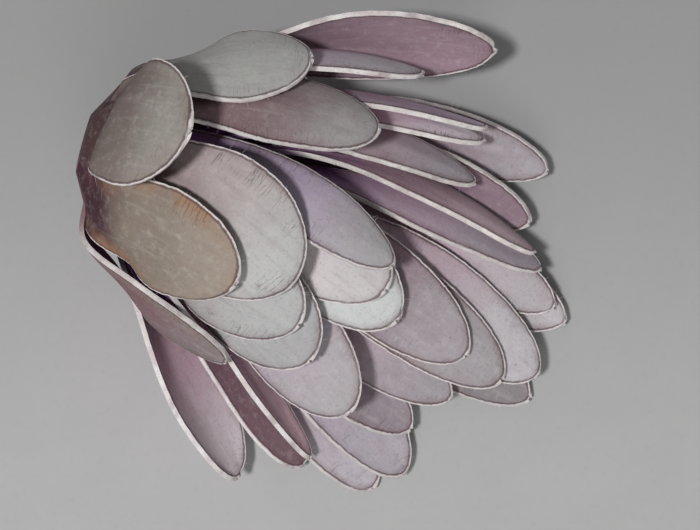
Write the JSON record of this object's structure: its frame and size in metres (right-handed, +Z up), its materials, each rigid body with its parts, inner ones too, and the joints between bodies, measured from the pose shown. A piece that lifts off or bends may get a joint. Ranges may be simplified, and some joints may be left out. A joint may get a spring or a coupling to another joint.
{
  "type": "paper flower bud",
  "caption": "Half-open flower bud of layered petals, cut and curled from thick ink-stained watercolour paper, lying on its side.",
  "frame": {"origin": "centre of the footprint on the table, at the lowest point of the lower petals", "axes": "+Z up from the table, +X along the flower from the back of its outer disc to the petal tips, +Y across it to the flower's left when looking along +X"},
  "size_m": [0.0476, 0.0469, 0.0289],
  "materials": {
    "sheet_a_paper": "matte",
    "sheet_b_paper": "matte",
    "sheet_c_paper": "matte",
    "sheet_d_paper": "matte",
    "sheet_e_paper": "matte",
    "sheet_f_paper": "matte",
    "sheet_g_paper": "matte",
    "sheet_h_paper": "matte",
    "sheet_i_paper": "matte",
    "sheet_j_paper": "matte",
    "glue_a": "satin",
    "glue_b": "satin",
    "glue_c": "satin",
    "glue_d": "satin",
    "glue_e": "satin",
    "glue_f": "satin",
    "glue_g": "satin",
    "glue_h": "satin",
    "glue_i": "satin"
  },
  "bodies": {
    "root": {"sheet_a": "sheet_a_paper", "sheet_b": "sheet_b_paper", "sheet_c": "sheet_c_paper", "sheet_d": "sheet_d_paper", "sheet_e": "sheet_e_paper", "sheet_f": "sheet_f_paper", "sheet_g": "sheet_g_paper", "sheet_h": "sheet_h_paper", "sheet_i": "sheet_i_paper", "sheet_j": "sheet_j_paper", "glue_a": "glue_a", "glue_b": "glue_b", "glue_c": "glue_c", "glue_d": "glue_d", "glue_e": "glue_e", "glue_f": "glue_f", "glue_g": "glue_g", "glue_h": "glue_h", "glue_i": "glue_i"}
  },
  "joints": []
}
